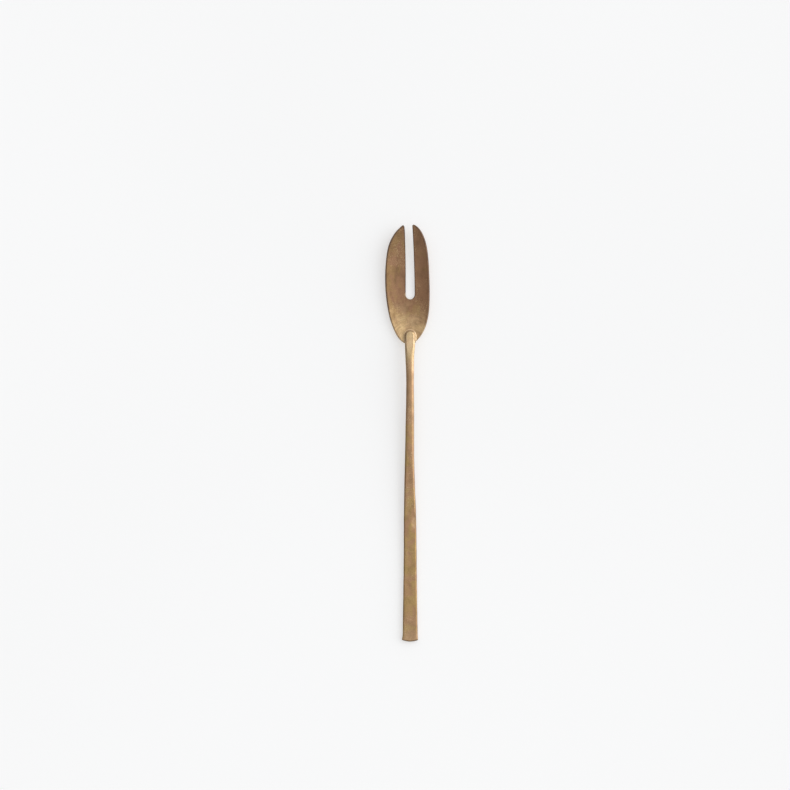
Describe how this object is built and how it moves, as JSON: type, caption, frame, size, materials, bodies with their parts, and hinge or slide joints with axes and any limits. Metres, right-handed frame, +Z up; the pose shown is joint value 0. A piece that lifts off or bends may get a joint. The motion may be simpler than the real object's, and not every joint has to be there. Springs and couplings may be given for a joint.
{
  "type": "bar spoon",
  "caption": "Brass bar spoon with a shallow dished bowl, split by a slot into broad tines, brazed to a long forged handle that widens and flattens to its end.",
  "frame": {"origin": "on the surface that the spoon lies on, under the middle of its outline, with the bowl open upwards", "axes": "+Y along the handle towards the tips of the tines, +X to the right seen from above, +Z up"},
  "size_m": [0.0194, 0.1799, 0.0059],
  "materials": {
    "bowl_brass": "matt, darkened by age, with a mottled brown patina and fine pitting",
    "handle_brass": "satin, hammered, brown patina with brighter worn edges",
    "solder_brass": "pale brazing alloy, filed smooth"
  },
  "bodies": {
    "root": {"bowl": "bowl_brass", "handle": "handle_brass", "solder_seam": "solder_brass"}
  },
  "joints": []
}
